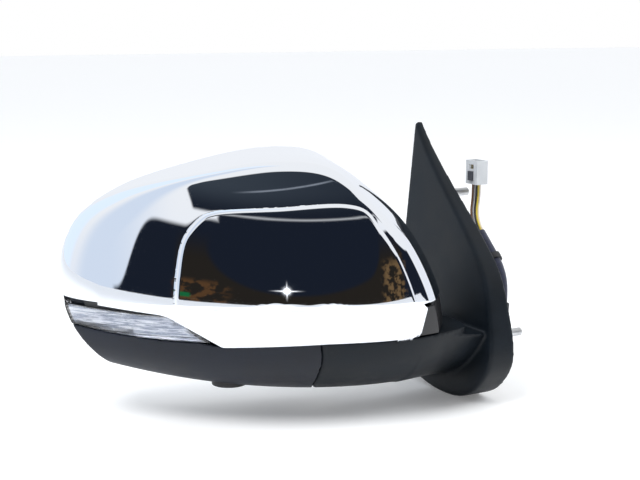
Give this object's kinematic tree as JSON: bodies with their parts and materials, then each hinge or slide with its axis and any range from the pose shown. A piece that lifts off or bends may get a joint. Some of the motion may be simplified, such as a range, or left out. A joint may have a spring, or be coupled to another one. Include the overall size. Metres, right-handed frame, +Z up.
{
  "type": "car side mirror",
  "caption": "Power-folding car door mirror: chrome cap, clear side indicator, tilting heated glass and a triangular sail base with studs and a wiring plug.",
  "frame": {"origin": "on the door mounting face, midway between the lower and the upper studs", "axes": "+Z up, +X inboard out of the mounting face towards the door, +Y towards the rear of the car, where the glass faces"},
  "size_m": [0.3151, 0.1629, 0.1962],
  "materials": {
    "chrome": "bright chrome plated ABS",
    "shell_black": "fine grained black moulding",
    "base_black": "fine grained black moulding",
    "frame_plastic": "glass filled nylon",
    "bezel_black": "satin black moulding",
    "lens_clear": "clear fluted polycarbonate",
    "reflector": "metallised reflector tray",
    "led": "amber diode package",
    "mirror": "silvered glass",
    "heater": "printed foil heater",
    "holder": "moulded backing plate",
    "housing_grey": "moulded gear housing",
    "motor_steel": "drawn steel can",
    "gear_white": "acetal",
    "steel": "plain steel",
    "spring_steel": "oiled spring wire",
    "zinc": "zinc plated",
    "casting": "as die cast",
    "foam": "closed cell foam",
    "rubber": "moulded rubber",
    "camera_glass": "coated optic",
    "loom": "taped sleeve",
    "wire_brown": "PVC insulation",
    "wire_grey": "PVC insulation",
    "wire_black": "PVC insulation",
    "wire_yellow": "PVC insulation",
    "wire_white": "PVC insulation",
    "connector": "natural nylon",
    "latch_grey": "nylon lock",
    "brass": "tinned terminals"
  },
  "bodies": {
    "base": {"base_cover": "base_black", "base_casting": "casting", "sail_gasket": "foam", "mounting_studs": "zinc", "pivot_post": "steel", "post_screws": "zinc", "detent_ring": "steel", "fold_gear": "steel", "clutch_spring": "spring_steel", "spring_retainer": "spring_steel", "grommet": "rubber", "inner_loom": "loom", "harness_loom": "loom", "wire_brown": "wire_brown", "wire_grey": "wire_grey", "wire_black": "wire_black", "wire_yellow": "wire_yellow", "wire_white": "wire_white", "loom_clip": "frame_plastic", "connector_housing": "connector", "connector_latch": "latch_grey", "connector_terminals": "brass"},
    "head": {"chrome_cap": "chrome", "indicator_lens": "lens_clear", "indicator_housing": "reflector", "indicator_leds": "led", "lower_skirt": "shell_black", "rear_bezel": "bezel_black", "camera_pod": "frame_plastic", "camera_lens_barrel": "bezel_black", "camera_glass": "camera_glass", "head_frame": "frame_plastic", "fold_case_lower": "housing_grey", "fold_case_cover": "housing_grey", "fold_case_screws": "zinc", "fold_motor": "motor_steel", "actuator_cup": "housing_grey", "actuator_lid": "housing_grey", "actuator_screws": "zinc", "pitch_motor": "motor_steel", "yaw_motor": "motor_steel"},
    "final_pinion": {"final_pinion": "gear_white"},
    "fold_worm": {"fold_worm": "steel"},
    "pivot_cross": {"pivot_cross": "steel"},
    "glass": {"glass_holder": "holder", "heater_pad": "heater", "mirror_glass": "mirror"},
    "pitch_plunger": {"pitch_plunger": "gear_white"},
    "yaw_plunger": {"yaw_plunger": "gear_white"},
    "pitch_nut": {"pitch_nut": "gear_white"},
    "yaw_nut": {"yaw_nut": "gear_white"},
    "pitch_worm": {"pitch_worm": "steel"},
    "yaw_worm": {"yaw_worm": "steel"}
  },
  "joints": [
    {"name": "fold", "type": "hinge", "parent": "base", "child": "head", "pos_m": [-0.092, -0.019, 0], "axis": [0, 0, 1], "range_deg": [-60, 45]},
    {"name": "pinion_spin", "type": "hinge", "parent": "head", "child": "final_pinion", "pos_m": [-0.11178, -0.01257, -0.018], "axis": [0, 0, 1], "continuous": true},
    {"name": "fold_worm_spin", "type": "hinge", "parent": "head", "child": "fold_worm", "pos_m": [-0.12003, -0.02114, -0.0085], "axis": [0.9511, -0.309, 0], "continuous": true},
    {"name": "glass_pitch", "type": "hinge", "parent": "head", "child": "pivot_cross", "pos_m": [-0.16837, 0.04367, 0.008], "axis": [0.9511, -0.309, 0], "range_deg": [-7, 7]},
    {"name": "glass_yaw", "type": "hinge", "parent": "pivot_cross", "child": "glass", "pos_m": [-0.16837, 0.04367, 0.008], "axis": [0, 0, 1], "range_deg": [-7, 7]},
    {"name": "pitch_push", "type": "slide", "parent": "head", "child": "pitch_plunger", "axis": [0.309, 0.9511, 0], "range_m": [-0.0045, 0.0045]},
    {"name": "yaw_push", "type": "slide", "parent": "head", "child": "yaw_plunger", "axis": [0.309, 0.9511, 0], "range_m": [-0.0045, 0.0045]},
    {"name": "pitch_nut_spin", "type": "hinge", "parent": "head", "child": "pitch_nut", "pos_m": [-0.17338, 0.02826, 0.038], "axis": [0.309, 0.9511, 0], "continuous": true},
    {"name": "yaw_nut_spin", "type": "hinge", "parent": "head", "child": "yaw_nut", "pos_m": [-0.14485, 0.01899, 0.008], "axis": [0.309, 0.9511, 0], "continuous": true},
    {"name": "pitch_worm_spin", "type": "hinge", "parent": "head", "child": "pitch_worm", "pos_m": [-0.17338, 0.02826, 0.0247], "axis": [0.9511, -0.309, 0], "continuous": true},
    {"name": "yaw_worm_spin", "type": "hinge", "parent": "head", "child": "yaw_worm", "pos_m": [-0.1575, 0.0231, 0.008], "axis": [0, 0, 1], "continuous": true}
  ],
  "couplings": [
    {"joint": "pinion_spin", "follows": "fold", "ratio": 3.3333},
    {"joint": "fold_worm_spin", "follows": "fold", "ratio": 80},
    {"joint": "pitch_push", "follows": "glass_pitch", "m_per_rad": -0.03},
    {"joint": "yaw_push", "follows": "glass_yaw", "m_per_rad": 0.03},
    {"joint": "pitch_nut_spin", "follows": "glass_pitch", "ratio": -47.124},
    {"joint": "yaw_nut_spin", "follows": "glass_yaw", "ratio": 47.124},
    {"joint": "pitch_worm_spin", "follows": "glass_pitch", "ratio": -1413.7},
    {"joint": "yaw_worm_spin", "follows": "glass_yaw", "ratio": 1413.7}
  ]
}
